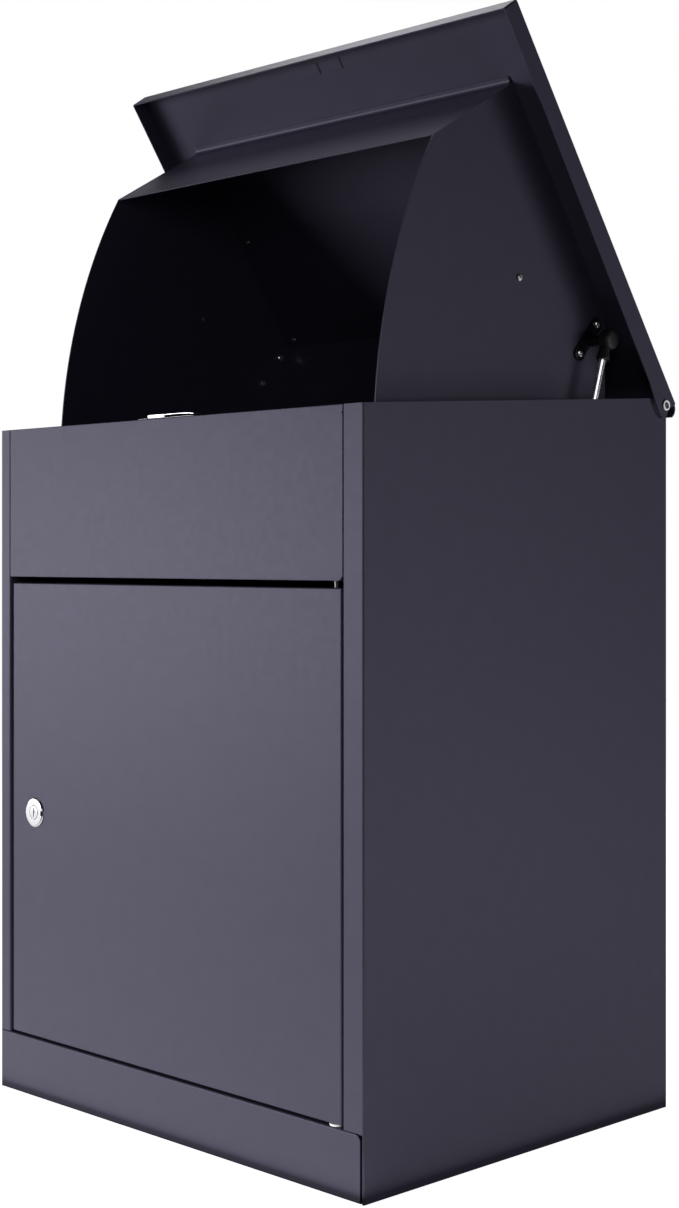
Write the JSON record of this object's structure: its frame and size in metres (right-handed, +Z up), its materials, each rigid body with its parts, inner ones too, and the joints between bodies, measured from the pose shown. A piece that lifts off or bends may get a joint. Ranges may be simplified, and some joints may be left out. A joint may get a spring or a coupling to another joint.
{
  "type": "parcel mailbox",
  "caption": "Folded sheet-steel parcel mailbox with a lockable front door, a lifting lid on gas struts and a drum chute that swings with the lid.",
  "frame": {"origin": "centre of the cabinet's underside", "axes": "+X to the right seen from the front, front towards -Y, +Z up"},
  "size_m": [0.4446, 0.365, 0.8656],
  "materials": {
    "anthracite_paint": "fine satin powder coat",
    "zinc_plate": "zinc plated",
    "bright_chrome": "polished",
    "polished_steel": "ground and polished",
    "black_plastic": "moulded",
    "black_tube": "black lacquer",
    "black_rubber": "matt",
    "white_nylon": "turned"
  },
  "bodies": {
    "cabinet": {"side_panel_left": "anthracite_paint", "side_panel_right": "anthracite_paint", "back_panel": "anthracite_paint", "floor_pan": "anthracite_paint", "front_panel_upper": "anthracite_paint", "catch_base": "zinc_plate", "catch_block": "bright_chrome", "catch_spring": "bright_chrome", "hinge_pin_top": "zinc_plate", "hinge_pin_bottom": "zinc_plate", "hinge_washer": "white_nylon", "lid_rivet_left": "zinc_plate", "lid_rivet_right": "zinc_plate", "lid_washer_left": "white_nylon", "lid_washer_right": "white_nylon", "strut_mount_left": "zinc_plate", "strut_mount_right": "zinc_plate", "wall_spacer_low_left": "black_rubber", "wall_spacer_low_right": "black_rubber", "wall_spacer_high_left": "black_rubber", "wall_spacer_high_right": "black_rubber"},
    "door": {"door_panel": "anthracite_paint", "lock_housing": "bright_chrome", "lock_nut": "zinc_plate"},
    "lock": {"lock_plug": "bright_chrome", "lock_cam": "zinc_plate", "lock_cam_screw": "zinc_plate"},
    "lid": {"lid_shell": "anthracite_paint", "chute_side_left": "anthracite_paint", "chute_side_right": "anthracite_paint", "chute_top": "anthracite_paint", "chute_back": "anthracite_paint", "chute_floor": "anthracite_paint", "strike_plate_1": "anthracite_paint", "strike_plate_2": "anthracite_paint", "chute_rivet_left": "zinc_plate", "chute_rivet_right": "zinc_plate", "chute_nut_1": "zinc_plate", "chute_nut_2": "zinc_plate", "chute_nut_3": "zinc_plate", "chute_nut_4": "zinc_plate", "strut_bracket_left": "black_tube", "strut_bracket_right": "black_tube", "strut_screw_left_1": "polished_steel", "strut_screw_left_2": "polished_steel", "strut_screw_right_1": "polished_steel", "strut_screw_right_2": "polished_steel"},
    "strut_rod_left_body": {"strut_rod_left": "polished_steel", "strut_socket_left": "black_plastic"},
    "strut_tube_left_body": {"strut_tube_left": "black_tube", "strut_foot_left": "black_plastic", "strut_foot_stud_left": "zinc_plate"},
    "strut_rod_right_body": {"strut_rod_right": "polished_steel", "strut_socket_right": "black_plastic"},
    "strut_tube_right_body": {"strut_tube_right": "black_tube", "strut_foot_right": "black_plastic", "strut_foot_stud_right": "zinc_plate"}
  },
  "joints": [
    {"name": "lid_hinge", "type": "hinge", "parent": "cabinet", "child": "lid", "pos_m": [0, 0.1692, 0.5721], "axis": [1, 0, 0], "range_deg": [0, 59.3], "stiffness_Nm_per_rad": 3.2, "springref_deg": -171.89},
    {"name": "door_hinge", "type": "hinge", "parent": "cabinet", "child": "door", "pos_m": [0.1856, -0.17, 0.24], "axis": [0, 0, 1], "range_deg": [0, 110]},
    {"name": "lock_turn", "type": "hinge", "parent": "door", "child": "lock", "pos_m": [-0.1684, -0.175, 0.2364], "axis": [0, 1, 0], "range_deg": [0, 90]},
    {"name": "strut_swing_left", "type": "hinge", "parent": "lid", "child": "strut_rod_left_body", "pos_m": [-0.205, 0.112, 0.62201], "axis": [1, 0, 0], "range_deg": [-62.5, 0]},
    {"name": "strut_slide_left", "type": "slide", "parent": "strut_rod_left_body", "child": "strut_tube_left_body", "axis": [0, 0.3007, 0.9537], "range_m": [0, 0.0755]},
    {"name": "strut_swing_right", "type": "hinge", "parent": "lid", "child": "strut_rod_right_body", "pos_m": [0.205, 0.112, 0.62201], "axis": [1, 0, 0], "range_deg": [-62.5, 0]},
    {"name": "strut_slide_right", "type": "slide", "parent": "strut_rod_right_body", "child": "strut_tube_right_body", "axis": [0, 0.3007, 0.9537], "range_m": [0, 0.0755]}
  ],
  "couplings": [
    {"joint": "strut_swing_left", "follows": "lid_hinge", "ratio": -1.0448},
    {"joint": "strut_slide_left", "follows": "lid_hinge", "m_per_rad": 0.071992},
    {"joint": "strut_swing_right", "follows": "lid_hinge", "ratio": -1.0448},
    {"joint": "strut_slide_right", "follows": "lid_hinge", "m_per_rad": 0.071992}
  ]
}
